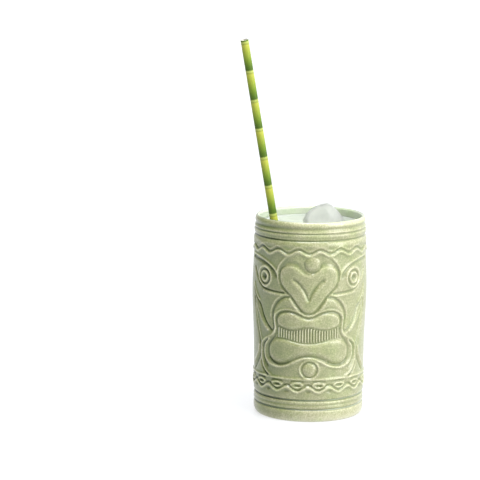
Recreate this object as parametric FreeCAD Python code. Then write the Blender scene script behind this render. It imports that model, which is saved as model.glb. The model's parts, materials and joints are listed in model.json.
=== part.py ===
import FreeCAD, Part
import math
import os

# A cast stoneware tiki mug with a full drink, a pile of ice and a paper straw.
# Millimetres. +Z is up, the face looks along -Y, and the origin is the middle of the foot.

# The mug
MUG_HEIGHT = 155.0
RIM_RADIUS = 43.0
BARREL_RADIUS = 43.2
FOOT_RADIUS = 42.6
WALL_INSIDE_RADIUS = 39.2
FLOOR_THICKNESS = 6.0
FLOOR_FILLET = 8.0
FOOT_FILLET = 3.0
LIP_FILLET = 1.85
FOOT_TOP = 17.5
BARREL_TOP = 140.5
GROOVE_HEIGHTS = (10.1, FOOT_TOP, 141.5, 146.6)
GROOVE_RADIUS = 1.0
GROOVE_DEPTH = 0.7

# The relief on the barrel
RELIEF = 1.0
TEETH_RELIEF = 0.5
SIDE_RELIEF = 1.6
ROOT_DEPTH = 1.0
SIDE_PANEL_HEIGHT = 98.0
SIDE_PANEL_HALF_SIZE = (30.0, 13.0)
SIDE_PANEL_ANGLE = 90.0
BORDER_HEIGHTS = (33.6, 131.2)
BORDER_RADIUS = 0.6
CHAIN_COUNT = 16
CHAIN_HEIGHT = 28.6
CHAIN_LINK_HALF_SIZE = (5.5, 2.3)
TOOTH_COUNT = 23
TOOTH_PITCH = 2.15
TOOTH_WIDTH = 1.4
TOOTH_SPAN = (64.0, 75.0)
BOSS_RADIUS = 5.8
BOSS_RING_RADII = (6.8, 7.7)
BOSS_HEIGHTS = (123.0, 41.2)
EYE_ANGLE = 51.5
EYE_HEIGHT = 111.0
EYE_RING_RADII = (6.3, 8.4)
EYE_IRIS_RADII = (2.2, 4.8)

# The straw: three wound paper plies
STRAW_LENGTH = 197.0
STRAW_RADIUS = 3.0
PLY_THICKNESS = 0.135
STRAW_LEAN = 12.0
STRAW_AZIMUTH = 51.75
STRAW_RADIUS_AT_RIM = 35.66
STRAW_ABOVE_RIM = 141.0

# The drink and the ice
CLEARANCE = 0.3
DRINK_LEVEL = 149.0
LUMP_CENTRE = (9.8, 3.0)
LUMP_RADIUS = 16.0
LUMP_TOP = 163.2
LUMP_DEPTH = 15.0
CUBE_SIZE = 23.0
CUBE_FILLET = 3.0
CUBE_POCKET_GAP = 0.1
LOW_LAYER_BOTTOM = 76.0
HIGH_LAYER_BOTTOM = 101.0
GRID_OFFSET = 12.6
TOP_CUBE_SIZE = 19.0
TOP_CUBE_CENTRE = (-18.5, 18.5, 137.0)

UP = FreeCAD.Vector(0, 0, 1)
FRONT = FreeCAD.Vector(0, -1, 0)
ORIGIN = FreeCAD.Vector(0, 0, 0)


def tube(outer, inner, bottom, top):
    """An upright ring about the mug's axis."""
    base = FreeCAD.Vector(0, 0, bottom)
    ring = Part.makeCylinder(outer, top - bottom, base, UP)
    return ring.cut(Part.makeCylinder(inner, top - bottom, base, UP))


def edges_at(shape, height):
    """The round edges that lie flat at one height."""
    def is_flat_there(edge):
        box = edge.BoundBox
        return abs(box.ZMin - height) < 1e-4 and abs(box.ZMax - height) < 1e-4
    return [edge for edge in shape.Edges if is_flat_there(edge)]


def filled_cup(radius, bottom, top, fillet):
    """A round plug with a rounded lower edge."""
    plug = Part.makeCylinder(radius, top - bottom, FreeCAD.Vector(0, 0, bottom), UP)
    return plug.makeFillet(fillet, edges_at(plug, bottom))


def plain_mug():
    """The turned shape under the relief: foot, barrel, lip and the hollow inside."""
    foot = filled_cup(FOOT_RADIUS, 0, FOOT_TOP, FOOT_FILLET)
    barrel = Part.makeCylinder(BARREL_RADIUS, BARREL_TOP - FOOT_TOP, FreeCAD.Vector(0, 0, FOOT_TOP), UP)
    neck = Part.makeCylinder(RIM_RADIUS, MUG_HEIGHT - BARREL_TOP, FreeCAD.Vector(0, 0, BARREL_TOP), UP)
    hollow = filled_cup(WALL_INSIDE_RADIUS, FLOOR_THICKNESS, MUG_HEIGHT, FLOOR_FILLET)
    mug = foot.fuse([barrel, neck]).cut(hollow)
    mug = mug.makeFillet(LIP_FILLET, edges_at(mug, MUG_HEIGHT))
    for height in GROOVE_HEIGHTS:
        centre = FreeCAD.Vector(0, 0, height)
        mug = mug.cut(Part.makeTorus(RIM_RADIUS + GROOVE_RADIUS - GROOVE_DEPTH, GROOVE_RADIUS, centre, UP))
    return mug


def on_barrel(across, height):
    """A point of the front view, from its distance round the barrel and its height."""
    return FreeCAD.Vector(BARREL_RADIUS * math.sin(across / BARREL_RADIUS), 0, height)


def mirrored_outline(half):
    """A closed curve through points given for one side, from the top middle to the bottom middle."""
    right = [on_barrel(across, height) for across, height in half]
    left = [on_barrel(-across, height) for across, height in reversed(half) if across > 0]
    curve = Part.BSplineCurve()
    curve.interpolate(right + left, PeriodicFlag=True)
    return Part.Face(Part.Wire(curve.toShape()))


def raised(face, relief=RELIEF):
    """A flat outline in the front view, pressed out of the barrel's surface."""
    block = face.extrude(FRONT * (2 * BARREL_RADIUS))
    skin = tube(BARREL_RADIUS + relief, BARREL_RADIUS - ROOT_DEPTH, FOOT_TOP, BARREL_TOP)
    return block.common(skin)


def round_face(radius, height):
    """A flat disc in the front view."""
    return Part.Face(Part.Wire(Part.makeCircle(radius, FreeCAD.Vector(0, 0, height), FRONT)))


def oval_face(half_length, half_width, height, tall=False):
    """A flat ellipse in the front view, lying or standing."""
    oval = Part.Ellipse(FreeCAD.Vector(0, 0, 0), half_length, half_width).toShape()
    oval.rotate(ORIGIN, FreeCAD.Vector(1, 0, 0), 90)
    if tall:
        oval.rotate(ORIGIN, FRONT, 90)
    oval.translate(FreeCAD.Vector(0, 0, height))
    return Part.Face(Part.Wire(oval))


def turned_round(shape, angle):
    """A copy of a pad on the front, turned round the barrel."""
    turned = shape.copy()
    turned.rotate(ORIGIN, UP, angle)
    return turned


def boss(height):
    """A round button in a ring, in the middle of the face."""
    ring = round_face(BOSS_RING_RADII[1], height).cut(round_face(BOSS_RING_RADII[0], height))
    return [raised(round_face(BOSS_RADIUS, height)), raised(ring)]


def eye(angle):
    """Two rings, one in the other."""
    rings = []
    for inner, outer in (EYE_RING_RADII, EYE_IRIS_RADII):
        ring = round_face(outer, EYE_HEIGHT).cut(round_face(inner, EYE_HEIGHT))
        rings.append(turned_round(raised(ring), angle))
    return rings


def side_panel(angle):
    """The long swelling between the front and the back of the carving."""
    panel = raised(oval_face(*SIDE_PANEL_HALF_SIZE, SIDE_PANEL_HEIGHT, tall=True), SIDE_RELIEF)
    return turned_round(panel, angle)


def face_pads():
    """The nose plate and the two lips."""
    nose = [(0, 115.5), (6, 119), (15, 121), (21.5, 117.5), (23, 112), (20, 104),
            (15.5, 99.5), (9, 90.5), (0, 85.3)]
    upper_lip = [(0, 79.4), (8, 82.3), (15, 84), (22, 82.4), (24.8, 78.5), (21.5, 74.3),
                 (12, 72.5), (0, 74.3)]
    lower_lip = [(0, 60.8), (12, 62.7), (20, 63.9), (27, 63.3), (31.5, 58.5), (31, 52.5),
                 (24, 48.8), (14, 50.8), (0, 54)]
    return [raised(mirrored_outline(half)) for half in (nose, upper_lip, lower_lip)]


def teeth():
    """A row of upright bars between the lips."""
    bars = []
    bottom, top = TOOTH_SPAN
    for number in range(TOOTH_COUNT):
        across = (number - (TOOTH_COUNT - 1) / 2) * TOOTH_PITCH
        corner = FreeCAD.Vector(-TOOTH_WIDTH / 2, -BARREL_RADIUS - TEETH_RELIEF, bottom)
        bar = Part.makeBox(TOOTH_WIDTH, TEETH_RELIEF + ROOT_DEPTH, top - bottom, corner)
        bars.append(turned_round(bar, math.degrees(across / BARREL_RADIUS)))
    return bars


def chain():
    """Lens-shaped links all round, under the border."""
    link = raised(oval_face(*CHAIN_LINK_HALF_SIZE, CHAIN_HEIGHT))
    return [turned_round(link, (number + 0.5) * 360.0 / CHAIN_COUNT) for number in range(CHAIN_COUNT)]


def mug_body():
    """The whole cast mug, one fired piece."""
    relief = face_pads() + teeth() + chain()
    for height in BOSS_HEIGHTS:
        relief += boss(height)
    for side in (-1, 1):
        relief += eye(side * EYE_ANGLE)
        relief.append(side_panel(side * SIDE_PANEL_ANGLE))
    for height in BORDER_HEIGHTS:
        centre = FreeCAD.Vector(0, 0, height)
        relief.append(Part.makeTorus(BARREL_RADIUS + RELIEF - BORDER_RADIUS, BORDER_RADIUS, centre, UP))
    return plain_mug().fuse(relief).removeSplitter()


def straw_direction():
    """The way the straw points, upwards and out over the rim."""
    lean = math.radians(STRAW_LEAN)
    azimuth = math.radians(STRAW_AZIMUTH)
    sideways = math.sin(lean)
    return FreeCAD.Vector(-sideways * math.sin(azimuth), -sideways * math.cos(azimuth), math.cos(lean))


def straw_foot():
    """The middle of the straw's lower end."""
    azimuth = math.radians(STRAW_AZIMUTH)
    at_rim = FreeCAD.Vector(-math.sin(azimuth), -math.cos(azimuth), 0) * STRAW_RADIUS_AT_RIM
    at_rim.z = MUG_HEIGHT
    return at_rim - straw_direction() * (STRAW_LENGTH - STRAW_ABOVE_RIM)


def straw_ply(number):
    """One wound paper strip, counted from the outside, where 0 is the printed one."""
    outer = STRAW_RADIUS - number * PLY_THICKNESS
    shell = Part.makeCylinder(outer, STRAW_LENGTH, straw_foot(), straw_direction())
    bore = Part.makeCylinder(outer - PLY_THICKNESS, STRAW_LENGTH, straw_foot(), straw_direction())
    return shell.cut(bore)


def ice_lump(grow=0.0):
    """A melted, rounded lump, widest where it meets the surface of the drink."""
    centre = FreeCAD.Vector(LUMP_CENTRE[0], LUMP_CENTRE[1], DRINK_LEVEL)
    radius = LUMP_RADIUS + grow
    ball = Part.makeSphere(radius, centre)
    above = ball.common(Part.makeCylinder(2 * radius, radius, centre, UP))
    below = ball.cut(above)
    dome = squashed(above, DRINK_LEVEL, (LUMP_TOP - DRINK_LEVEL + grow) / radius)
    bowl = squashed(below, DRINK_LEVEL, (LUMP_DEPTH + grow) / radius)
    return dome.fuse(bowl)


def squashed(shape, level, factor):
    """The shape with its heights above or below a level scaled."""
    matrix = FreeCAD.Matrix()
    matrix.move(FreeCAD.Vector(0, 0, -level))
    matrix.scale(1, 1, factor)
    matrix.move(FreeCAD.Vector(0, 0, level))
    return shape.transformGeometry(matrix)


def ice_cube(centre, size, grow=0.0):
    """A cube with melted edges, or its pocket in the drink when it is grown a little."""
    side = size + 2 * grow
    corner = FreeCAD.Vector(*centre) - FreeCAD.Vector(side, side, side) / 2
    cube = Part.makeBox(side, side, side, corner)
    return cube.makeFillet(CUBE_FILLET, cube.Edges)


def cube_places():
    """Centre and size of each hidden cube: four low down, three above them, one near the surface."""
    low = LOW_LAYER_BOTTOM + CUBE_SIZE / 2
    high = HIGH_LAYER_BOTTOM + CUBE_SIZE / 2
    corners = [(-1, -1), (1, -1), (1, 1), (-1, 1)]
    places = [((x * GRID_OFFSET, y * GRID_OFFSET, low), CUBE_SIZE) for x, y in corners]
    # The straw stands in the front left corner of the upper layer.
    places += [((x * GRID_OFFSET, y * GRID_OFFSET, high), CUBE_SIZE) for x, y in corners[1:]]
    places.append((TOP_CUBE_CENTRE, TOP_CUBE_SIZE))
    return places


def drink():
    """The drink as a solid, with room for the ice and the straw."""
    bottom = FLOOR_THICKNESS + CLEARANCE
    liquid = filled_cup(WALL_INSIDE_RADIUS - CLEARANCE, bottom, DRINK_LEVEL, FLOOR_FILLET)
    foot = straw_foot() - straw_direction() * CLEARANCE
    straw_room = Part.makeCylinder(STRAW_RADIUS + CLEARANCE, STRAW_LENGTH, foot, straw_direction())
    pockets = [ice_cube(centre, size, CUBE_POCKET_GAP) for centre, size in cube_places()]
    return liquid.cut([straw_room, ice_lump(CLEARANCE)] + pockets)


def save(name, shape):
    """Write one piece and say whether it is sound."""
    shape.exportStep(f"parts/{name}.step")
    print(name, "solids", len(shape.Solids), "valid", shape.isValid(), "volume", round(shape.Volume))


os.makedirs("parts", exist_ok=True)
save("mug_body", mug_body())
save("drink", drink())
save("ice_lump", ice_lump())
for number, (centre, size) in enumerate(cube_places(), start=1):
    save(f"ice_cube_{number}", ice_cube(centre, size))
for number, name in enumerate(("straw_printed_ply", "straw_middle_ply", "straw_inner_ply")):
    save(name, straw_ply(number))
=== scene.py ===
import json
import math

import bpy
import numpy as np
from mathutils import Matrix, Vector


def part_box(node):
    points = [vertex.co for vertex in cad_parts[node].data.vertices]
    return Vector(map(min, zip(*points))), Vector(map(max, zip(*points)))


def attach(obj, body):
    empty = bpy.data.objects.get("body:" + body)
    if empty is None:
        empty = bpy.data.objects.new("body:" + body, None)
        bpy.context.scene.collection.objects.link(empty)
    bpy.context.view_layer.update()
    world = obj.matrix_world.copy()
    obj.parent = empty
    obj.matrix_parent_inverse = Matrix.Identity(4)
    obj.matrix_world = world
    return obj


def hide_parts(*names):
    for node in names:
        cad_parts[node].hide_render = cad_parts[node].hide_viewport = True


# A green-glazed tiki mug with a drink, a lump of ice and a bamboo-print paper straw.
# Everything is in metres in the frame of the CAD model: +Z up, the face looks along -Y, and the
# origin is the middle of the foot. The relief is drawn in millimetres, on the barrel unrolled:
# "across" is the distance round from the middle of the face, "up" the height above the table.

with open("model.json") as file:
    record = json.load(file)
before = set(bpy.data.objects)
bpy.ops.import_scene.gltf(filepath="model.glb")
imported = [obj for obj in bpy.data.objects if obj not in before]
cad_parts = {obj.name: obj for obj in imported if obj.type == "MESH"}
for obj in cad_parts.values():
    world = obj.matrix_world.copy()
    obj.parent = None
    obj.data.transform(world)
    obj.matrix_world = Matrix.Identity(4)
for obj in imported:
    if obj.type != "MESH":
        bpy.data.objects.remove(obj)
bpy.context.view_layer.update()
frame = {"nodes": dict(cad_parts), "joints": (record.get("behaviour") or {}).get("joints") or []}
MM = 0.001

# ---------------------------------------------------------------- the mug's sizes, in millimetres

MUG_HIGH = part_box("mug_body")[1]
MUG_HEIGHT = MUG_HIGH.z / MM
RELIEF_RADIUS = MUG_HIGH.y / MM
RELIEF_LIMIT = 1.4
CARVING = 1.36
GLAZE_SOFTENING = 0.3
BARREL_RADIUS = RELIEF_RADIUS - 1.5
RIM_RADIUS = RELIEF_RADIUS - 1.2
FOOT_RADIUS = RELIEF_RADIUS - 1.6
INSIDE_RADIUS = RIM_RADIUS - 3.8
FLOOR_UP = 6.0
FLOOR_FILLET = 8.0
FOOT_ROUND_IN = 3.0
FOOT_ROUND_UP = 6.0
LIP_FILLET = 1.85
LIP_ROUND_UP = 3.6
# Height, depth and half width of each turned groove, and of the wide dip that rounds the bands beside
# it. A bead has a negative depth.
TURNED_GROOVES = ((9.7, 1.1, 0.6), (9.7, 0.5, 1.4), (13.3, 0.35, 0.8), (17.0, 1.4, 0.6), (17.0, 0.6, 1.5),
                  (136.8, -0.4, 1.8), (140.8, 1.0, 0.6), (140.8, 0.5, 1.4), (142.8, 0.25, 0.7),
                  (146.0, 0.9, 0.6), (149.8, 1.1, 1.8))
TURN = 2 * math.pi * BARREL_RADIUS

# ---------------------------------------------------------------- mesh and node helpers


def new_object(name, points, faces, material, smooth=True):
    """A mesh object from points in metres."""
    mesh = bpy.data.meshes.new(name)
    mesh.from_pydata([tuple(p) for p in points], [], faces)
    mesh.update()
    if smooth:
        mesh.polygons.foreach_set("use_smooth", [True] * len(mesh.polygons))
    mesh.materials.append(material)
    obj = bpy.data.objects.new(name, mesh)
    bpy.context.scene.collection.objects.link(obj)
    return obj


def add_values(obj, name, values):
    """One number per point, for a material to read."""
    layer = obj.data.attributes.new(name, "FLOAT", "POINT")
    layer.data.foreach_set("value", np.asarray(values, np.float32).ravel())


def ring_faces(rows, columns, first=0):
    """Quads between rows of points that close on themselves."""
    faces = []
    for row in range(rows - 1):
        here = first + row * columns
        for column in range(columns):
            after = (column + 1) % columns
            faces.append((here + column, here + after, here + columns + after, here + columns + column))
    return faces


def fan_faces(centre, first, columns, upward):
    """Triangles from a middle point to one row."""
    faces = []
    for column in range(columns):
        pair = (first + column, first + (column + 1) % columns)
        faces.append((centre, *pair) if upward else (centre, *reversed(pair)))
    return faces


def turned(name, profile, columns, material):
    """A closed round solid from (radius, height) pairs in metres, bottom middle to top middle."""
    points = [(0, 0, profile[0][1])]
    for radius, height in profile[1:-1]:
        for column in range(columns):
            angle = 2 * math.pi * column / columns
            points.append((radius * math.cos(angle), radius * math.sin(angle), height))
    points.append((0, 0, profile[-1][1]))
    rows = len(profile) - 2
    faces = fan_faces(0, 1, columns, upward=False)
    faces += ring_faces(rows, columns, first=1)
    faces += fan_faces(len(points) - 1, 1 + (rows - 1) * columns, columns, upward=True)
    return new_object(name, points, faces, material)


class Shader:
    """A material's nodes, made one line at a time."""

    def __init__(self, name):
        self.material = bpy.data.materials.new(name)
        self.material.use_nodes = True
        self.tree = self.material.node_tree
        self.surface = self.tree.nodes["Principled BSDF"]

    def node(self, kind, **settings):
        made = self.tree.nodes.new(kind)
        for key, value in settings.items():
            setattr(made, key, value)
        return made

    def link(self, source, target):
        self.tree.links.new(source, target)

    def value(self, name):
        """A number stored on the mesh."""
        return self.node("ShaderNodeAttribute", attribute_name=name).outputs["Fac"]

    def math(self, operation, first, second=0.0, third=None):
        made = self.node("ShaderNodeMath", operation=operation)
        for socket, item in zip(made.inputs, (first, second, third)):
            if item is None:
                continue
            if isinstance(item, (int, float)):
                socket.default_value = item
            else:
                self.link(item, socket)
        return made.outputs["Value"]

    def noise(self, scale, detail=2.0, roughness=0.5):
        """Noise with a given size of cell, in cells per metre."""
        place = self.node("ShaderNodeTexCoord").outputs["Object"]
        made = self.node("ShaderNodeTexNoise")
        made.inputs["Scale"].default_value = scale
        made.inputs["Detail"].default_value = detail
        made.inputs["Roughness"].default_value = roughness
        self.link(place, made.inputs["Vector"])
        return made.outputs["Fac"]

    def ramp(self, source, stops, interpolation="LINEAR"):
        """Colours along a value."""
        made = self.node("ShaderNodeValToRGB")
        made.color_ramp.interpolation = interpolation
        elements = made.color_ramp.elements
        while len(elements) < len(stops):
            elements.new(0.5)
        for element, (position, colour) in zip(elements, stops):
            element.position = position
            element.color = (*colour, 1)
        self.link(source, made.inputs["Fac"])
        return made.outputs["Color"]

    def mix(self, share, first, second, blend="MIX"):
        made = self.node("ShaderNodeMix", data_type="RGBA", blend_type=blend)
        for socket, item in zip((made.inputs[0], made.inputs[6], made.inputs[7]), (share, first, second)):
            if isinstance(item, (int, float)):
                socket.default_value = item
            elif isinstance(item, tuple):
                socket.default_value = (*item, 1)
            else:
                self.link(item, socket)
        return made.outputs[2]

    def set(self, **sockets):
        """Set or link the surface's own sockets; an underscore in a key stands for a space."""
        for key, item in sockets.items():
            socket = self.surface.inputs[key.replace("_", " ")]
            if isinstance(item, (int, float)):
                socket.default_value = item
            elif isinstance(item, tuple):
                socket.default_value = (*item, 1) if len(item) == 3 and socket.type == "RGBA" else item
            else:
                self.link(item, socket)

    def bump(self, height, distance, strength=1.0):
        made = self.node("ShaderNodeBump")
        made.inputs["Distance"].default_value = distance
        made.inputs["Strength"].default_value = strength
        self.link(height, made.inputs["Height"])
        self.link(made.outputs["Normal"], self.surface.inputs["Normal"])


# ---------------------------------------------------------------- camera

# Distances in metres, angles in degrees.
CAMERA_DISTANCE = 1.831
CAMERA_HEIGHT = 0.4515
CAMERA_DOWN = 9.833
CAMERA_LEFT = 1.698
CAMERA_TILT = 0.463
LENS_MM = 180.0


def add_camera():
    """Looks down a little from the front, with the mug right of the middle."""
    data = bpy.data.cameras.new("camera")
    data.lens = LENS_MM
    data.sensor_width = 36.0
    data.clip_end = 50.0
    camera = bpy.data.objects.new("camera", data)
    bpy.context.scene.collection.objects.link(camera)
    look = Matrix.Rotation(math.radians(CAMERA_LEFT), 4, "Z")
    look = look @ Matrix.Rotation(math.radians(90 - CAMERA_DOWN), 4, "X")
    look = look @ Matrix.Rotation(math.radians(CAMERA_TILT), 4, "Z")
    camera.matrix_world = Matrix.Translation((0, -CAMERA_DISTANCE, CAMERA_HEIGHT)) @ look
    bpy.context.scene.camera = camera


# ---------------------------------------------------------------- clay: drawing on the barrel


def smooth_line(points, closed=False, steps=8):
    """Points along a Catmull-Rom curve through the given ones."""
    given = np.array(points, float)
    if closed:
        padded = np.vstack([given[-1:], given, given[:2]])
    else:
        padded = np.vstack([2 * given[:1] - given[1:2], given, 2 * given[-1:] - given[-2:-1]])
    made = []
    for a, b, c, d in zip(padded[:-3], padded[1:-2], padded[2:-1], padded[3:]):
        for step in range(steps):
            t = step / steps
            made.append(0.5 * (2 * b + (c - a) * t + (2 * a - 5 * b + 4 * c - d) * t ** 2
                               + (3 * b - a - 3 * c + d) * t ** 3))
    made.append(padded[-2])
    return np.array(made)


def flipped(points):
    """The same points on the face's other side."""
    return [(-across, up) for across, up in points]


def whole_outline(half):
    """A closed outline from the points of its right half, which run from the middle to the middle."""
    inner = [point for point in reversed(half) if point[0] > 0]
    return smooth_line(list(half) + flipped(inner), closed=True)


def circle(centre, radius, count=48):
    """Points round a ring, from its right side on over the top."""
    angles = np.linspace(0, 2 * math.pi, count + 1)
    return np.stack([centre[0] + radius * np.cos(angles), centre[1] + radius * np.sin(angles)], 1)


def bell(share):
    return np.exp(-share ** 2)


def ease(share):
    share = np.clip(share, 0, 1)
    return share * share * (3 - 2 * share)


class Clay:
    """Heights over the plain barrel, on a fine even grid that closes on itself round the back."""

    CELL = 0.35
    REACH = 4.0

    def __init__(self):
        self.columns = int(round(TURN / self.CELL))
        self.rows = int(round(MUG_HEIGHT / self.CELL))
        self.cell_across = TURN / self.columns
        self.cell_up = MUG_HEIGHT / self.rows
        self.across = (np.arange(self.columns) + 0.5) * self.cell_across - TURN / 2
        self.up = (np.arange(self.rows) + 0.5) * self.cell_up
        shape = (self.rows, self.columns)
        self.plates = np.zeros(shape)
        self.ridges = np.zeros(shape)
        self.grooves = np.zeros(shape)

    def window(self, low, high, reach):
        """The rows and columns of a box, and its grid."""
        first = np.searchsorted(self.across, low[0] - reach)
        last = np.searchsorted(self.across, high[0] + reach)
        bottom = np.searchsorted(self.up, low[1] - reach)
        top = np.searchsorted(self.up, high[1] + reach)
        part = (slice(bottom, top), slice(first, last))
        return part, self.across[None, first:last], self.up[bottom:top, None]

    def distance(self, lines, reach=REACH):
        """How far each grid point is from the nearest line, within reach."""
        best = np.full((self.rows, self.columns), 1e3)
        for line in lines:
            for start, end in zip(line[:-1], line[1:]):
                part, across, up = self.window(np.minimum(start, end), np.maximum(start, end), reach)
                run = end - start
                length = max(float(run @ run), 1e-12)
                along = ((across - start[0]) * run[0] + (up - start[1]) * run[1]) / length
                along = np.clip(along, 0, 1)
                gap = np.hypot(across - start[0] - along * run[0], up - start[1] - along * run[1])
                best[part] = np.minimum(best[part], gap)
        return best

    def inside(self, outline):
        """Which grid points a closed outline holds."""
        held = np.zeros((self.rows, self.columns), bool)
        part, across, up = self.window(outline.min(0), outline.max(0), 0)
        crossings = np.zeros(np.broadcast(across, up).shape, int)
        for start, end in zip(outline, np.roll(outline, -1, 0)):
            rise = end[1] - start[1]
            if abs(rise) < 1e-9:
                continue
            spans = (up > min(start[1], end[1])) & (up <= max(start[1], end[1]))
            edge = start[0] + (up - start[1]) / rise * (end[0] - start[0])
            crossings += spans & (across < edge)
        held[part] = crossings % 2 == 1
        return held

    def ridge(self, lines, width, height):
        self.ridges = np.maximum(self.ridges, height * bell(self.distance(lines) / width))

    def groove(self, lines, width, depth):
        self.grooves = np.maximum(self.grooves, depth * bell(self.distance(lines) / width))

    def plate(self, outlines, height, edge):
        """A raised pad with a rounded edge."""
        for outline in outlines:
            closed = np.vstack([outline, outline[:1]])
            depth = np.where(self.inside(outline), self.distance([closed], edge + 1), 0)
            self.plates = np.maximum(self.plates, height * np.sqrt(ease(depth / edge)))

    def heights(self):
        """The finished surface: edges softened by the glaze, and held inside the relief's limit."""
        raw = CARVING * self.blurred(self.plates + self.ridges - self.grooves, GLAZE_SOFTENING)
        return np.where(raw > 0, RELIEF_LIMIT * np.tanh(raw / RELIEF_LIMIT), raw)

    def blurred(self, field, width):
        """The field smoothed over a distance in mm."""
        across = np.fft.fftfreq(self.columns, self.cell_across)
        up = np.fft.fftfreq(self.rows, self.cell_up)
        keep = np.exp(-2 * (math.pi * width) ** 2 * (across[None, :] ** 2 + up[:, None] ** 2))
        return np.real(np.fft.ifft2(np.fft.fft2(field) * keep))

    def sampled(self, field, across, up):
        """The field at any places, between grid points."""
        column = ((across + TURN / 2) / self.cell_across - 0.5) % self.columns
        row = np.clip(up / self.cell_up - 0.5, 0, self.rows - 1.001)
        left, low = np.floor(column).astype(int), np.floor(row).astype(int)
        right_share, high_share = column - left, row - low
        right = (left + 1) % self.columns
        bottom = field[low, left] * (1 - right_share) + field[low, right] * right_share
        top = field[low + 1, left] * (1 - right_share) + field[low + 1, right] * right_share
        return bottom * (1 - high_share) + top * high_share


# ---------------------------------------------------------------- the face, drawn as right halves

FACE_SHIFT = -0.5
WAVE_COUNT = 16
WAVE_LENGTH = TURN / WAVE_COUNT
WAVE_UP = 132.8
WAVE_SWING = 1.6
TOP_BEAD_UP = 134.6
TOP_BEAD_SWING = 1.5
CHAIN_WAVE_UP = 27.3
BEAD_DROP = 2.2

NOSE = [(0, 115.0), (4, 116.2), (7.5, 119.2), (11, 121), (15, 121.5), (19.5, 119.9), (22.4, 116.6),
        (23, 112.5), (22.3, 108.8), (20, 104.8), (16.6, 101.2), (13.6, 98.4), (11, 95), (8, 91),
        (5.2, 87.8), (2.8, 86.1), (0, 85.6)]
NOSE_TOP_HOLLOW = [(3, 117.6), (6, 119.9), (9, 122.6), (12.5, 123.7), (16, 123.8), (19.5, 122.4),
                   (22.5, 119.8)]
NOSE_GROOVE = [(20, 121), (23, 118), (24.2, 113.5), (23.7, 109.5), (21.8, 105.5), (18.5, 102),
               (15, 98.8), (12.3, 95.4), (9.2, 91.1), (6.4, 87.4), (3.6, 85), (0, 84.2)]
NOSE_CONTOUR = [(16.5, 129), (19, 126.6), (22, 123.5), (24.6, 119.5), (25.6, 115.5), (25.2, 112.5),
                (23.6, 107.5)]
NOSE_CONTOUR_GROOVE = [(17.5, 126), (20, 123.8), (22.4, 120.5), (23.8, 116.5)]
NOSTRIL = [(11.2, 110.6), (8.6, 109.1), (5.9, 106.2), (3.5, 102.8), (1.6, 99.3), (0.3, 95.5)]
NOSTRIL_BEAD = [(13.2, 110.5), (11.2, 107.2), (8.4, 104.4), (5.5, 100.9), (3.3, 97.2), (1.2, 93.2)]
NOSE_SIDE_RIDGE = [(14.9, 96.6), (12.8, 92.8), (9.9, 88.6), (7, 85.4)]

EYE_CENTRE = (39.2, 110.8)
UPPER_LID = [(25.6, 115), (28.5, 118.4), (32.5, 121), (36.8, 122.9), (41, 124.2), (46, 125.2),
             (51, 125.9), (58, 126.4)]
UPPER_LID_GROOVE = [(27.2, 112.5), (29.5, 116), (33.5, 119.3), (38, 121.4), (43, 122.6), (50, 123.4),
                    (58, 123.8)]
LOWER_LID_GROOVE = [(20, 100), (26, 100.2), (33, 100.6), (38, 101.3), (42, 102.7), (46, 105.2),
                    (49.5, 108.6), (52.5, 112.2), (54.5, 116)]
LOWER_LID_RIDGE = [(17.5, 98.3), (25, 98.2), (32, 98.6), (40, 99.6)]

CHEEK_GROOVE = [(14.8, 97.2), (18.5, 97.2), (22, 95.6), (25.3, 92.8), (28, 89), (29.7, 85), (30, 81),
                (29.4, 76.5), (29, 72), (30.8, 69.8)]
CHEEK_RIDGE = [(15.5, 98.9), (19.2, 98.6), (23.2, 96.9), (26.8, 93.9), (29.5, 89.7), (31.2, 85.2),
               (31.5, 81)]
CHEEK = [(14.2, 96), (18.3, 95.9), (21.3, 94.3), (24.3, 91.6), (26.8, 88), (28.4, 84), (28.6, 80),
         (27.6, 80.5), (26, 84.6), (22.5, 87.4), (15, 88.8), (8.5, 88), (11.8, 92.6)]

MOUTH_RIDGE = [(0, 83.3), (3.5, 84), (7, 85.8), (11, 87.2), (15, 87.8), (19, 87.6), (22.8, 86.3),
               (26, 83.9), (27.8, 80.5), (27.4, 76), (27, 72), (27.9, 69), (30.3, 66.5), (34, 64.4),
               (38, 62.2), (41, 59.4), (42.5, 56)]
MOUTH_GROOVE = [(0, 81.2), (3.5, 82.1), (7, 83.9), (11, 85.4), (15.5, 86.1), (20, 85.8), (24, 84),
                (26, 80.5), (26.1, 76), (25.9, 71), (26.7, 67), (28.8, 64.2), (31.2, 61.6),
                (33.3, 58.5), (34, 55), (33.8, 51.5), (32.5, 48.5), (30, 46.3), (26.5, 44.9),
                (23, 44.5), (19, 45.2), (15, 46.9), (11, 49), (7, 50.6), (3, 51.4), (0, 51.6)]
# The deeper stretch under the ends of the lower lip.
UNDER_LIP = MOUTH_GROOVE[16:22]
UPPER_LIP = [(0, 80.2), (4, 81), (8, 82.9), (12, 84.4), (16, 85), (20, 84.5), (23.4, 82.4), (25, 79.5),
             (24.8, 76.8), (23, 74.9), (20, 73.7), (16, 72.7), (12, 72.5), (8, 73.1), (4, 74.1),
             (0, 74.6)]
LOWER_LIP = [(0, 61.2), (5, 61.4), (10, 62.3), (15, 63.4), (20, 64.1), (25, 63.9), (28.8, 62.3),
             (31.2, 59.6), (32.6, 56), (32.3, 52), (30.6, 48.9), (27.6, 46.9), (24, 46.2), (20, 46.8),
             (16, 48.3), (12, 50.3), (8, 51.9), (4, 52.8), (0, 53)]
LIP_LINE_TOP = [(0, 73.8), (4, 73.3), (8, 72.3), (12, 71.7), (16, 71.8), (20, 72.6), (24.4, 74.2)]
LIP_LINE_BOTTOM = [(0, 61.9), (5, 62.1), (10, 63), (15, 64.1), (20, 64.9), (26, 64.8)]
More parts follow.
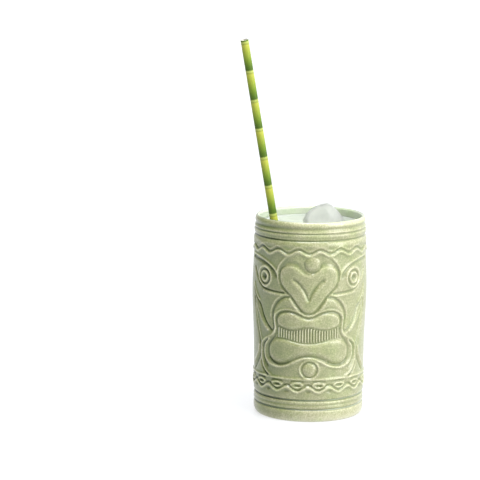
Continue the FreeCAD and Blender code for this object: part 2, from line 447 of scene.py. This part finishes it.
LOWER_LIP_RIDGE = [(0, 50.1), (4, 49.7), (8, 48.3), (12, 46.2), (16, 44.2), (20, 42.9), (24.5, 42.4),
                   (29, 43), (33, 44.6), (36.2, 47.7), (37.5, 52), (37.2, 56.5), (35.6, 60.2),
                   (33, 63.4)]

JAW_GROOVE_HIGH = [(35, 62.2), (37.6, 60.2), (39.8, 57.6), (40, 53), (39, 48), (37.2, 44.2),
                   (34.6, 41.6)]
JAW_RIDGE = [(42.5, 56), (42.3, 51), (41.6, 46.4), (40, 42.4), (37.4, 39), (34.3, 36.6), (31, 35)]
JAW_GROOVE_LOW = [(43, 44.5), (41.6, 41), (39.4, 38), (37, 35.8), (34.6, 34.6)]

LEAF_GROOVE = [(55, 99), (52.6, 94.5), (50, 92), (47, 89.6), (44.8, 87.2), (43, 84.5), (41.4, 81.3),
               (39.4, 78.3), (36.9, 75), (33.9, 72.2), (30.8, 69.8)]
LEAF_RIDGE_HIGH = [(55, 103), (52.4, 98.2), (49.6, 94.6), (46, 91.6)]
LEAF_RIDGE_LOW = [(50.5, 87), (47.5, 83.6), (44.5, 79.4), (41.2, 75.4), (37.8, 72), (34.6, 69.6)]
EAR_GROOVE = [(55, 92), (53.2, 84.5), (51.7, 79), (49.9, 73), (47.5, 67), (45.3, 61), (43.8, 56),
              (43.6, 52.5), (44.6, 49), (47, 45), (50.6, 40.5), (54, 37)]
EAR_RIDGE = [(51.2, 85), (49.6, 80), (48, 75.5), (46, 70), (43.9, 65), (42.4, 61)]
EAR_RIDGE_LOW = [(46.4, 56), (47, 51.5), (49.4, 47.5), (53, 43.2), (56.4, 40)]

TOOTH_COUNT = 23
TOOTH_PITCH = 2.15
TOOTH_WIDTH = 1.45
TOOTH_INSET = 0.9
BROW_BOSS = (2.8, 123.2)
BROW_BOSS_RADIUS = 6.0
CHIN_BOSS = (1.0, 41.3)
CHIN_BOSS_RADIUS = 5.4
CHIN_RING_RADIUS = 7.4
BORDER_UP = 33.7
CHAIN_UP = 28.7
LINK_HALF_LENGTH = 4.7
LINK_HALF_HEIGHT = 1.75
EAR_MIDDLE = TURN / 4
# Which of a circle's points are drawn: all of them, or the lower half.
WHOLE_RING = slice(0, 49)
OPEN_RING = slice(23, 49)


def both(points):
    """A line on the right and its twin on the left."""
    return [smooth_line(points), smooth_line(flipped(points))]


def wave(middle, swing):
    """A wavy line all the way round, with a low point in the middle of the face."""
    across = np.linspace(-TURN / 2, TURN / 2, 480)
    return np.stack([across, middle - swing * np.cos(2 * math.pi * across / WAVE_LENGTH)], 1)


def level(up):
    """A line all the way round at one height."""
    return np.array([(-TURN / 2, up), (0, up), (TURN / 2, up)])


def draw_waves(clay):
    clay.groove([wave(WAVE_UP, WAVE_SWING)], width=0.75, depth=0.5)
    clay.ridge([wave(WAVE_UP - BEAD_DROP, WAVE_SWING)], width=0.95, height=0.75)
    clay.ridge([wave(TOP_BEAD_UP, TOP_BEAD_SWING)], width=0.7, height=0.35)


def draw_chain(clay):
    clay.ridge([level(BORDER_UP)], width=0.8, height=0.75)
    clay.groove([wave(CHAIN_WAVE_UP, -1.9)], width=0.75, depth=0.85)
    clay.ridge([wave(CHAIN_WAVE_UP - BEAD_DROP, -1.8)], width=0.85, height=0.7)
    for number in range(WAVE_COUNT):
        middle = (number + 0.5) * WAVE_LENGTH - TURN / 2
        angles = np.linspace(0, 2 * math.pi, 41)
        link_across = middle + LINK_HALF_LENGTH * np.cos(angles)
        link_up = CHAIN_UP + LINK_HALF_HEIGHT * np.sin(angles)
        clay.ridge([np.stack([link_across, link_up], 1)], width=0.8, height=0.7)
        clay.groove([np.array([(middle - 1.4, CHAIN_UP), (middle + 1.4, CHAIN_UP)])], width=0.8, depth=0.8)
        dash = smooth_line([(middle - 4.2, 32.1), (middle, 32.3), (middle + 4.2, 32.1)])
        clay.groove([dash], width=0.65, depth=0.6)
        hollow = middle - WAVE_LENGTH / 2
        clay.groove([np.array([(hollow - 0.8, 24.2), (hollow + 0.8, 24.2)])], width=1.0, depth=0.5)


def draw_boss(clay, centre, dome, span):
    """A round button in a groove, which may be open at the top, with a run of glaze on its right."""
    clay.plate([circle(centre, dome)[:-1]], height=1.2, edge=4.5)
    run = np.array([(centre[0] + 4.6, centre[1] - 2.2), (centre[0] + 4.9, centre[1] - 0.6)])
    clay.groove([run], width=0.7, depth=0.5)
    clay.groove([circle(centre, dome + 0.6)[span]], width=0.5, depth=0.6)


def draw_eyes(clay):
    for side in (-1, 1):
        centre = (side * EYE_CENTRE[0], EYE_CENTRE[1])
        clay.ridge([circle(centre, 7.7)], width=1.0, height=0.7)
        clay.groove([circle(centre, 5.7)], width=0.8, depth=0.7)
        clay.ridge([circle(centre, 3.8)], width=0.95, height=0.75)
        clay.groove([circle(centre, 0.7)], width=1.3, depth=0.9)
    clay.ridge(both(UPPER_LID), width=1.0, height=0.7)
    clay.groove(both(UPPER_LID_GROOVE), width=1.3, depth=0.75)
    clay.groove(both(LOWER_LID_GROOVE), width=0.7, depth=1.0)
    clay.ridge(both(LOWER_LID_RIDGE), width=1.0, height=0.35)


def draw_nose(clay):
    clay.groove(both(NOSE_TOP_HOLLOW), width=1.5, depth=0.4)
    clay.plate([whole_outline(NOSE)], height=0.85, edge=1.7)
    clay.groove(both(NOSE_GROOVE), width=0.8, depth=0.75)
    clay.ridge(both(NOSE_CONTOUR), width=0.9, height=0.6)
    clay.groove(both(NOSE_CONTOUR_GROOVE), width=1.0, depth=0.45)
    clay.groove(both(NOSTRIL), width=1.2, depth=1.05)
    clay.ridge(both(NOSTRIL_BEAD), width=0.9, height=0.4)
    clay.ridge(both(NOSE_SIDE_RIDGE), width=0.8, height=0.55)


def draw_cheeks(clay):
    outlines = [smooth_line(CHEEK, closed=True), smooth_line(flipped(CHEEK), closed=True)]
    clay.plate(outlines, height=0.45, edge=2.0)
    clay.groove(both(CHEEK_GROOVE), width=0.85, depth=0.8)
    clay.ridge(both(CHEEK_RIDGE), width=0.9, height=0.35)


def draw_mouth(clay):
    clay.plate([whole_outline(UPPER_LIP)], height=0.85, edge=1.7)
    clay.plate([whole_outline(LOWER_LIP)], height=0.9, edge=2.6)
    clay.ridge(both(MOUTH_RIDGE), width=0.85, height=0.65)
    clay.ridge(both(LOWER_LIP_RIDGE), width=0.95, height=0.7)
    clay.groove(both(MOUTH_GROOVE), width=0.7, depth=0.7)
    clay.groove(both(UNDER_LIP), width=1.0, depth=1.0)
    clay.groove(both(LIP_LINE_TOP), width=0.55, depth=0.6)
    clay.groove(both(LIP_LINE_BOTTOM), width=0.55, depth=0.6)


def lip_to_lip(across):
    """An upright line that stops just short of both lips."""
    top, bottom = smooth_line(LIP_LINE_TOP), smooth_line(LIP_LINE_BOTTOM)
    high = np.interp(abs(across), top[:, 0], top[:, 1]) - TOOTH_INSET
    low = np.interp(abs(across), bottom[:, 0], bottom[:, 1]) + TOOTH_INSET
    return np.array([(across, low), (across, high)])


def draw_teeth(clay):
    """A row of bars that run from one lip to the other, with a groove on either side of each."""
    for number in range(TOOTH_COUNT):
        across = (number - (TOOTH_COUNT - 1) / 2) * TOOTH_PITCH
        clay.ridge([lip_to_lip(across)], width=TOOTH_WIDTH / 2, height=0.6)
    for number in range(TOOTH_COUNT + 1):
        across = (number - TOOTH_COUNT / 2) * TOOTH_PITCH
        clay.groove([lip_to_lip(across)], width=0.55, depth=1.2)


def draw_jaw(clay):
    clay.ridge(both(JAW_RIDGE), width=0.95, height=0.6)
    clay.groove(both(JAW_GROOVE_HIGH), width=0.95, depth=0.65)
    clay.groove(both(JAW_GROOVE_LOW), width=0.8, depth=1.1)


def mirrored_behind(points):
    """The same line on the back half, mirrored in the plane through both ears."""
    return [(2 * EAR_MIDDLE - across, up) for across, up in points]


def draw_sides(clay):
    """The leaf and ear lines, which frame a long panel on each side of the mug."""
    clay.groove(both(LEAF_GROOVE), width=0.9, depth=1.0)
    clay.ridge(both(LEAF_RIDGE_HIGH), width=1.3, height=0.6)
    clay.ridge(both(LEAF_RIDGE_LOW), width=1.1, height=0.5)
    clay.groove(both(EAR_GROOVE), width=0.9, depth=0.85)
    clay.ridge(both(EAR_RIDGE), width=1.1, height=0.6)
    clay.ridge(both(EAR_RIDGE_LOW), width=1.1, height=0.5)
    for line, width, depth in ((LEAF_GROOVE, 0.9, 1.0), (EAR_GROOVE, 0.9, 0.85)):
        clay.groove(both(mirrored_behind(line)), width=width, depth=depth)
    ridges = ((LEAF_RIDGE_HIGH, 1.3, 0.6), (EAR_RIDGE, 1.1, 0.6), (EAR_RIDGE_LOW, 1.1, 0.5))
    for line, width, height in ridges:
        clay.ridge(both(mirrored_behind(line)), width=width, height=height)


def press_relief():
    """The whole drawing, pressed into the clay."""
    clay = Clay()
    draw_waves(clay)
    draw_chain(clay)
    draw_boss(clay, BROW_BOSS, BROW_BOSS_RADIUS, OPEN_RING)
    draw_boss(clay, CHIN_BOSS, CHIN_BOSS_RADIUS, WHOLE_RING)
    clay.ridge([circle(CHIN_BOSS, CHIN_RING_RADIUS)], width=0.75, height=0.6)
    draw_eyes(clay)
    draw_nose(clay)
    draw_cheeks(clay)
    draw_mouth(clay)
    draw_teeth(clay)
    draw_jaw(clay)
    draw_sides(clay)
    return clay


# ---------------------------------------------------------------- the mug

FRONT_REACH = 66.0
FRONT_STEP = 0.46
BACK_STEP = 0.85
ROW_STEP = 0.5
FOOT_RINGS = (12, 24, 34, 38.5)
FLOOR_RINGS = (22, 10)
# Painted light: paler glaze at the foot for light bounced up from the table, where the glaze also thins, and
# a painted highlight round the lip.
FOOT_BOUNCE_LIGHT = 0.26
LIP_HIGHLIGHT = 0.2
BARREL_START = 17.3
BARREL_START_RISE = 2.0
NECK_START = 134.5
NECK_START_RISE = 4.0
SIDE_SWELLING = 1.6
SIDE_SWELLING_UP = 98.0
SIDE_SWELLING_HALF_HEIGHT = 30.0
SIDE_SWELLING_HALF_WIDTH = 14.0
# How far the glaze flows off a bead, and off a whole lip or nose; the same reach sets the painted shade
# in the grooves and the painted highlights on the ridges.
FINE_FLOW = 0.8
BROAD_FLOW = 3.2


def column_places():
    """Distances round the barrel, closer together on the face than at the back."""
    front = np.linspace(-FRONT_REACH, FRONT_REACH, int(2 * FRONT_REACH / FRONT_STEP), endpoint=False)
    back_length = TURN - 2 * FRONT_REACH
    back = FRONT_REACH + np.linspace(0, back_length, int(back_length / BACK_STEP), endpoint=False)
    return np.concatenate([front, back])


def arc(centre, radius, start, end, count):
    """(radius, height) pairs along a quarter round, angles in degrees."""
    angles = np.radians(np.linspace(start, end, count))
    return [(centre[0] + radius * math.cos(a), centre[1] + radius * math.sin(a)) for a in angles]


def plain_radius(up):
    """The barrel's outside without the face: foot band, barrel, neck and the turned grooves."""
    radius = FOOT_RADIUS + (BARREL_RADIUS - FOOT_RADIUS) * ease((up - BARREL_START) / BARREL_START_RISE)
    radius = radius + (RIM_RADIUS - BARREL_RADIUS) * ease((up - NECK_START) / NECK_START_RISE)
    for height, depth, width in TURNED_GROOVES:
        radius = radius - depth * bell((up - height) / width)
    return radius


def mug_profile():
    """(radius, height, share of the relief) from the middle of the foot to the middle of the floor."""
    rows = [(r, 0, 0) for r in FOOT_RINGS]
    for angle in np.linspace(-math.pi / 2, 0, 11):
        radius = FOOT_RADIUS - FOOT_ROUND_IN * (1 - math.cos(angle))
        rows.append((radius, FOOT_ROUND_UP * (1 + math.sin(angle)), 0))
    lip_start = MUG_HEIGHT - LIP_ROUND_UP
    outside = np.arange(FOOT_ROUND_UP + ROW_STEP, lip_start, ROW_STEP)
    rows += [(float(plain_radius(up)), float(up), 1) for up in outside]
    for angle in np.linspace(0, math.pi / 2, 13)[1:]:
        radius = plain_radius(lip_start) - LIP_FILLET * (1 - math.cos(angle))
        rows.append((float(radius), lip_start + LIP_ROUND_UP * math.sin(angle), 0))
    lip_up = MUG_HEIGHT - LIP_FILLET
    rows += [(r, up, 0) for r, up in arc((INSIDE_RADIUS + LIP_FILLET, lip_up), LIP_FILLET, 90, 180, 9)]
    inner = np.linspace(lip_up, FLOOR_UP + FLOOR_FILLET, 12)[1:]
    rows += [(INSIDE_RADIUS, float(up), 0) for up in inner]
    turn = arc((INSIDE_RADIUS - FLOOR_FILLET, FLOOR_UP + FLOOR_FILLET), FLOOR_FILLET, 0, -90, 7)
    rows += [(r, up, 0) for r, up in turn[1:]]
    rows += [(r, FLOOR_UP, 0) for r in FLOOR_RINGS]
    return np.array(rows)


def inside_wall(profile):
    """One for the rows inside the mug, nought for the rest."""
    return (profile[:, 0] < RIM_RADIUS - LIP_FILLET) & (profile[:, 1] > FLOOR_UP - 1)


def build_mug(material):
    """The cast mug: the turned profile with the face pressed out, and how thick the glaze lies,
    with painted shade in the grooves, painted highlights on the ridges and lip, and painted bounce light on
    the foot.
    """
    clay = press_relief()
    heights = clay.heights()
    surface = heights + plain_radius(clay.up)[:, None]
    # Values that are positive in grooves and hollows and negative on ridges: pooled glaze with painted
    # shade, thin glaze with painted highlights.
    fine = clay.blurred(surface, FINE_FLOW) - surface
    broad = clay.blurred(surface, BROAD_FLOW) - surface
    columns, profile = column_places(), mug_profile()
    across = columns[None, :]
    up = profile[:, 1:2]
    wanted = profile[:, 2:3] > 0
    lift = np.where(wanted, clay.sampled(heights, across - FACE_SHIFT, up + 0 * across), 0)
    swelling = bell((np.abs(across) - TURN / 4) / SIDE_SWELLING_HALF_WIDTH)
    swelling = swelling * bell((up - SIDE_SWELLING_UP) / SIDE_SWELLING_HALF_HEIGHT)
    radius = (profile[:, 0:1] + lift + SIDE_SWELLING * swelling * wanted) * MM
    angle = across / BARREL_RADIUS
    x, y, z = radius * np.sin(angle), -radius * np.cos(angle), up * MM + 0 * angle
    points = np.stack([x, y, z], -1).reshape(-1, 3)
    points = np.vstack([[(0, 0, 0)], points, [(0, 0, FLOOR_UP * MM)]])
    count = len(columns)
    faces = fan_faces(0, 1, count, upward=False)
    faces += ring_faces(len(profile), count, first=1)
    faces += fan_faces(len(points) - 1, 1 + (len(profile) - 1) * count, count, upward=True)
    mug = new_object("glazed_mug", points, faces, material)
    # Painted light: bounce light from the table on the foot, and a highlight round the lip.
    painted_lip_and_foot_light = FOOT_BOUNCE_LIGHT * bell(profile[:, 1] / FOOT_ROUND_UP)
    painted_lip_and_foot_light = np.maximum(painted_lip_and_foot_light, LIP_HIGHLIGHT * bell((MUG_HEIGHT - profile[:, 1]) / LIP_ROUND_UP))
    for name, share in (("painted_lip_and_foot_light", painted_lip_and_foot_light), ("inside", inside_wall(profile))):
        add_values(mug, name, np.concatenate([[0], np.repeat(share, count), [1]]))
    for name, field in (("pool_shade_and_sheen", fine), ("hollow", broad)):
        values = np.where(wanted, clay.sampled(field, across - FACE_SHIFT, up + 0 * across), 0)
        add_values(mug, name, np.concatenate([[0], values.ravel(), [0]]))
    return mug


INSIDE_GLAZE = (0.50, 0.58, 0.45)
INSIDE_SHARE = 0.75
# Painted shade, darkest on the mug's own right, away from the lamps: its ends across the mug in metres,
# and how strongly it darkens the glaze and its pooled grooves at each end.
SHADED_SIDE_X = -0.036
LIT_SIDE_X = -0.008
SHADED_SIDE_DARKENING = 0.65
LIT_SIDE_DARKENING = 0.18
# The glaze's tone runs from 0, deep green, to 1, bare and pale. These are its middle and what shifts it.
PLAIN_TONE = 0.592
BROAD_SHARE = 0.3
SIDE_SHADE_SHIFT = -0.3
# RAISED_SHIFT pales the ridge tops: thin glaze and a painted highlight.
RAISED_SHIFT = -0.2
DRIFT = 0.2
SPECKLE = 0.5


def painted_side_shade(shader):
    """Painted shade: the glaze and its grooves are darkened towards the mug's own right, the side away from
    the lamps.
    """
    made = shader.node("ShaderNodeMapRange", interpolation_type="SMOOTHSTEP")
    ends = (("From Min", SHADED_SIDE_X), ("From Max", LIT_SIDE_X),
            ("To Min", SHADED_SIDE_DARKENING), ("To Max", LIT_SIDE_DARKENING))
    for name, number in ends:
        made.inputs[name].default_value = number
    place = shader.node("ShaderNodeSeparateXYZ")
    shader.link(shader.node("ShaderNodeTexCoord").outputs["Object"], place.inputs[0])
    shader.link(place.outputs["X"], made.inputs["Value"])
    return made.outputs["Result"]


def glaze():
    """Celadon: pale where it runs off the ridges, dark green where it lies deep in the grooves.
    The pale ridges are also painted highlights, the dark grooves also painted shade.
    """
    shader = Shader("celadon glaze")
    drift = shader.noise(120, 3.0)
    speckle = shader.noise(900, 2.0, 0.6)
    # Painted shade on the side away from the lamps: darker glaze, and darker grooves.
    side_darkening = painted_side_shade(shader)
    # Painted shade: grooves and hollows darkened for pooled glaze and for the shade that falls in them.
    pooled_and_shaded = shader.math("MULTIPLY_ADD", shader.value("hollow"), BROAD_SHARE, shader.value("pool_shade_and_sheen"))
    tone = shader.math("SUBTRACT", PLAIN_TONE, shader.math("MULTIPLY", pooled_and_shaded, side_darkening))
    tone = shader.math("MULTIPLY_ADD", side_darkening, SIDE_SHADE_SHIFT, tone)
    # Painted highlight: ridge tops and plate edges made paler, for thin glaze and for the light on them.
    raised = shader.math("MINIMUM", shader.value("pool_shade_and_sheen"), 0.0)
    tone = shader.math("MULTIPLY_ADD", raised, RAISED_SHIFT, tone)
    # Painted highlight round the lip and painted bounce light on the foot.
    tone = shader.math("ADD", tone, shader.value("painted_lip_and_foot_light"))
    tone = shader.math("ADD", tone, shader.math("MULTIPLY_ADD", drift, DRIFT, -DRIFT / 2))
    tone = shader.math("ADD", tone, shader.math("MULTIPLY_ADD", speckle, SPECKLE, -SPECKLE / 2))
    colour = shader.ramp(tone, [
        (0.0, (0.055, 0.085, 0.022)),
        (0.25, (0.165, 0.2, 0.078)),
        (0.43, (0.235, 0.268, 0.118)),
        (0.55, (0.31, 0.322, 0.162)),
        (0.75, (0.55, 0.55, 0.34)),
        (1.0, (0.76, 0.765, 0.62)),
    ])
    colour = shader.mix(shader.math("MULTIPLY", shader.value("inside"), INSIDE_SHARE), colour, INSIDE_GLAZE)
    patches = shader.noise(75, 2.0, 0.6)
    tint = shader.ramp(patches, [(0.3, (0.94, 1.0, 0.86)), (0.5, (1.0, 1.0, 1.0)), (0.7, (1.03, 1.0, 1.05))])
    colour = shader.mix(1.0, colour, tint, "MULTIPLY")
    shader.set(Base_Color=colour, Roughness=0.4, IOR=1.5, Coat_Weight=0.6, Coat_Roughness=0.16)
    shader.bump(shader.noise(700, 2.0), 0.0001, 0.25)
    return shader.material


# ---------------------------------------------------------------- the straw

STRAW_LENGTH = 0.19698
STRAW_RADIUS = 0.003
PLY = 0.000135
STRAW_ROWS = 197
STRAW_COLUMNS = 40
WIND_ANGLE = 38.0
SEAM_DEPTH = 0.00006
# As a share of a turn.
SEAM_HALF_WIDTH = 0.03


def straw_axis():
    """The straw's lower end and direction, from its slide joint and its box."""
    joint = next(j for j in frame["joints"] if j["child"] == "straw")
    direction = Vector(joint["axis"]).normalized()
    low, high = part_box("straw_printed_ply")
    middle = (low + high) / 2
    return middle - direction * STRAW_LENGTH / 2, direction


def build_straw(material):
    """The printed outer ply: a thin tube with the fine step of its spiral seam."""
    start, direction = straw_axis()
    side = direction.cross(Vector((0, 1, 0))).normalized()
    other = direction.cross(side)
    pitch = math.pi * 2 * STRAW_RADIUS / math.tan(math.radians(WIND_ANGLE))
    points, along_values = [], []
    for inner in (False, True):
        for row in range(STRAW_ROWS + 1):
            share = row / STRAW_ROWS
            along = STRAW_LENGTH * (1 - share if inner else share)
            for column in range(STRAW_COLUMNS):
                turn = column / STRAW_COLUMNS
                seam = (turn + along / pitch) % 1.0
                dip = SEAM_DEPTH * math.exp(-((min(seam, 1 - seam) / SEAM_HALF_WIDTH) ** 2))
                radius = STRAW_RADIUS - PLY if inner else STRAW_RADIUS - dip
                angle = 2 * math.pi * turn
                outward = side * math.cos(angle) + other * math.sin(angle)
                points.append(start + direction * along + radius * outward)
                along_values.append(along)
    rows = 2 * (STRAW_ROWS + 1)
    faces = ring_faces(rows, STRAW_COLUMNS)
    last = (rows - 1) * STRAW_COLUMNS
    for column in range(STRAW_COLUMNS):
        after = (column + 1) % STRAW_COLUMNS
        faces.append((last + column, last + after, after, column))
    straw = new_object("bamboo_print_straw", points, faces, material)
    add_values(straw, "along", along_values)
    return straw


NODE_PITCH = 0.0226
FIRST_NODE = 0.0013


def bamboo_print():
    """Cane segments: pale ring, bright yellow, then green that deepens down to the next node."""
    shader = Shader("bamboo print paper")
    along = shader.value("along")
    down = shader.math("DIVIDE", shader.math("SUBTRACT", STRAW_LENGTH - FIRST_NODE, along), NODE_PITCH)
    share = shader.math("FRACT", down)
    streaks = shader.noise(900, 3.0, 0.6)
    share = shader.math("ADD", share, shader.math("MULTIPLY_ADD", streaks, 0.05, -0.025))
    colour = shader.ramp(share, [
        (0.0, (0.40, 0.46, 0.10)),
        (0.045, (0.38, 0.44, 0.09)),
        (0.075, (0.25, 0.29, 0.04)),
        (0.12, (0.42, 0.44, 0.06)),
        (0.22, (0.36, 0.40, 0.045)),
        (0.45, (0.25, 0.32, 0.03)),
        (0.65, (0.15, 0.235, 0.014)),
        (0.84, (0.075, 0.145, 0.006)),
        (0.97, (0.055, 0.11, 0.003)),
        (1.0, (0.34, 0.40, 0.09)),
    ])
    shader.set(Base_Color=colour, Roughness=0.5, IOR=1.35)
    shader.bump(shader.noise(2500, 2.0), 0.00002, 0.3)
    return shader.material


def plain_paper():
    shader = Shader("plain paper")
    fibres = shader.noise(3000, 4.0, 0.7)
    colour = shader.ramp(fibres, [(0.3, (0.70, 0.68, 0.60)), (0.7, (0.86, 0.85, 0.79))])
    shader.set(Base_Color=colour, Roughness=0.8)
    shader.bump(fibres, 0.00002, 0.5)
    return shader.material


# ---------------------------------------------------------------- ice and drink


def ice():
    """Wet ice: clear with a cloudy heart."""
    shader = Shader("wet ice")
    cloud = shader.noise(160, 4.0, 0.6)
    colour = shader.ramp(cloud, [(0.3, (0.70, 0.71, 0.68)), (0.7, (0.80, 0.81, 0.77))])
    shader.set(Base_Color=colour, Roughness=0.4, IOR=1.2, Transmission_Weight=0.75)
    shader.bump(shader.noise(220, 2.0), 0.0004, 0.25)
    return shader.material


LUMP_SKEW = 0.0026
LUMP_ROWS = 60
LUMP_COLUMNS = 96
# Which way each flat on the lump faces, and how deep it is melted.
LUMP_FLATS = (((-0.25, -0.8, 0.55), 0.0024), ((0.8, -0.42, 0.43), 0.0012))


def flattened(points, facing, depth):
    """The points with those past a plane pressed back on to it."""
    normal = Vector(facing).normalized()
    limit = max(point.dot(normal) for point in points) - depth
    return [point - normal * max(point.dot(normal) - limit, 0) for point in points]


def build_lump(material):
    """A melted lump: a skewed dome above the drink and a bowl below, inside its CAD solid."""
    low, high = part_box("ice_lump")
    centre = (low + high) / 2
    half = (high - low) / 2
    widest = DRINK_LEVEL
    rows, columns = LUMP_ROWS, LUMP_COLUMNS
    points = [Vector((centre.x, centre.y, low.z))]
    for row in range(1, rows):
        lean = math.pi * row / rows - math.pi / 2
        for column in range(columns):
            angle = 2 * math.pi * column / columns
            melt = 0.97 + 0.015 * math.sin(3 * angle + 1.1) + 0.01 * math.sin(5 * angle + 4 * lean)
            rise = math.sin(lean)
            reach = melt * (1 - abs(rise) ** 1.6) ** 0.62
            tall = (high.z - widest) if rise > 0 else (widest - low.z)
            shift = LUMP_SKEW * max(rise, 0) ** 5
            x = centre.x + half.x * reach * math.cos(angle) + shift
            y = centre.y + half.y * reach * math.sin(angle)
            points.append(Vector((x, y, widest + tall * rise)))
    points.append(Vector((centre.x + LUMP_SKEW, centre.y, high.z)))
    for facing, depth in LUMP_FLATS:
        points = flattened(points, facing, depth)
    faces = fan_faces(0, 1, columns, upward=False)
    faces += ring_faces(rows - 1, columns, first=1)
    faces += fan_faces(len(points) - 1, 1 + (rows - 2) * columns, columns, upward=True)
    return new_object("ice_dome", points, faces, material)


def cloudy_drink():
    shader = Shader("cloudy drink")
    swirl = shader.noise(90, 3.0)
    colour = shader.ramp(swirl, [(0.3, (0.42, 0.45, 0.41)), (0.7, (0.48, 0.51, 0.46))])
    shader.set(Base_Color=colour, Roughness=0.08, IOR=1.34, Subsurface_Weight=0.3, Subsurface_Scale=0.004)
    shader.set(Subsurface_Radius=(1.0, 1.0, 0.8))
    shader.bump(shader.noise(140, 1.0), 0.0004, 0.3)
    return shader.material


DRINK_LOW, DRINK_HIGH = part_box("drink")
DRINK_LEVEL = DRINK_HIGH.z
MENISCUS = 0.0006


def build_drink(material):
    """The drink as liquid lies in the mug: level, and drawn up a little at the wall."""
    radius, level_up, low = DRINK_HIGH.x, DRINK_LEVEL - MENISCUS, DRINK_LOW.z
    fillet = FLOOR_FILLET * MM
    profile = [(0, low)]
    profile += [(r, low) for r in (0.012, radius - fillet)]
    profile += arc((radius - fillet, low + fillet), fillet, -75, 0, 6)
    profile += [(radius, up) for up in np.linspace(low + 2 * fillet, level_up, 10)]
    profile += [(radius, DRINK_LEVEL)]
    for share in np.linspace(0, 1, 12)[1:]:
        profile.append((radius - 0.006 * share, level_up + MENISCUS * math.exp(-4 * share)))
    profile += [(radius * share, level_up) for share in (0.7, 0.55, 0.4, 0.25, 0.1)]
    profile += [(0, level_up)]
    return turned("liquid", profile, 160, material)


# ---------------------------------------------------------------- stage


def add_floor():
    """A pale table top that stays as bright far away, out of the lamps' reach."""
    shader = Shader("pale table")
    place = shader.node("ShaderNodeTexCoord").outputs["Object"]
    away = shader.node("ShaderNodeVectorMath", operation="LENGTH")
    shader.link(place, away.inputs[0])
    glow = shader.node("ShaderNodeMapRange", interpolation_type="SMOOTHSTEP")
    for name, number in (("From Min", 0.1), ("From Max", 2.0), ("To Min", 0.64), ("To Max", 0.84)):
        glow.inputs[name].default_value = number
    shader.link(away.outputs["Value"], glow.inputs["Value"])
    shader.set(Base_Color=(0.25, 0.252, 0.255), Roughness=0.4, Emission_Color=(0.97, 0.98, 1.0))
    shader.set(Emission_Strength=glow.outputs["Result"])
    shader.surface.inputs["Specular IOR Level"].default_value = 0.2
    size = 14.0
    corners = [(-size, -size, 0), (size, -size, 0), (size, size, 0), (-size, size, 0)]
    floor = new_object("table_top", corners, [(0, 1, 2, 3)], shader.material, smooth=False)


def add_lamp(name, place, target, size, power):
    """A square soft box aimed at a point."""
    data = bpy.data.lights.new(name, "AREA")
    data.shape = "RECTANGLE"
    data.size, data.size_y = size
    data.energy = power
    lamp = bpy.data.objects.new(name, data)
    bpy.context.scene.collection.objects.link(lamp)
    lamp.location = place
    aim = Vector(target) - Vector(place)
    lamp.rotation_euler = aim.to_track_quat("-Z", "Y").to_euler()


BRIGHT_SIDE = (0.72, 0.52, 0.46)
SKY_TOP = 1.4
SKY_STOPS = ((0.0, 0.02), (0.3, 0.06), (0.42, 0.36), (0.6, 0.7), (0.8, 1.1), (1.0, 1.4))


def add_sky():
    """A studio that is bright behind and to the right, and darker to the left of the camera."""
    world = bpy.data.worlds.new("studio")
    world.use_nodes = True
    bpy.context.scene.world = world
    tree = world.node_tree
    direction = tree.nodes.new("ShaderNodeTexCoord").outputs["Generated"]
    facing = tree.nodes.new("ShaderNodeVectorMath")
    facing.operation = "DOT_PRODUCT"
    facing.inputs[1].default_value = Vector(BRIGHT_SIDE).normalized()
    tree.links.new(direction, facing.inputs[0])
    share = tree.nodes.new("ShaderNodeMapRange")
    share.inputs["From Min"].default_value = -1.0
    tree.links.new(facing.outputs["Value"], share.inputs["Value"])
    ramp = tree.nodes.new("ShaderNodeFloatCurve")
    points = ramp.mapping.curves[0].points
    while len(points) < len(SKY_STOPS):
        points.new(0.5, 0.5)
    for point, (place, strength) in zip(points, SKY_STOPS):
        point.location = (place, strength / SKY_TOP)
    ramp.mapping.update()
    tree.links.new(share.outputs["Result"], ramp.inputs["Value"])
    scale = tree.nodes.new("ShaderNodeMath")
    scale.operation = "MULTIPLY"
    scale.inputs[1].default_value = SKY_TOP
    tree.links.new(ramp.outputs["Value"], scale.inputs[0])
    background = tree.nodes["Background"]
    background.inputs["Color"].default_value = (0.97, 0.985, 1.0, 1)
    tree.links.new(scale.outputs["Value"], background.inputs["Strength"])


def add_light():
    add_sky()
    add_lamp("right soft box", (1.0, -0.62, 0.5), (0, 0, 0.09), (0.8, 0.8), 10.8)
    add_lamp("top soft box", (0.05, -0.35, 1.2), (0, 0, 0.1), (0.9, 0.5), 16)
    bpy.context.scene.view_settings.view_transform = "Standard"


# ---------------------------------------------------------------- put together


def carried_over(material, *names):
    """CAD nodes that are shown as they are, with a better material."""
    for name in names:
        node = frame["nodes"][name]
        node.data.materials.clear()
        node.data.materials.append(material)


add_camera()

mug = build_mug(glaze())
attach(mug, "mug")
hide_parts("mug_body")

straw = build_straw(bamboo_print())
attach(straw, "straw")
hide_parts("straw_printed_ply")
carried_over(plain_paper(), "straw_middle_ply", "straw_inner_ply")

wet_ice = ice()
lump = build_lump(wet_ice)
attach(lump, "lump")
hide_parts("ice_lump")
carried_over(wet_ice, *[name for name in frame["nodes"] if name.startswith("ice_cube")])

liquid = build_drink(cloudy_drink())
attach(liquid, "drink_and_ice")
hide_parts("drink")

add_floor()
add_light()
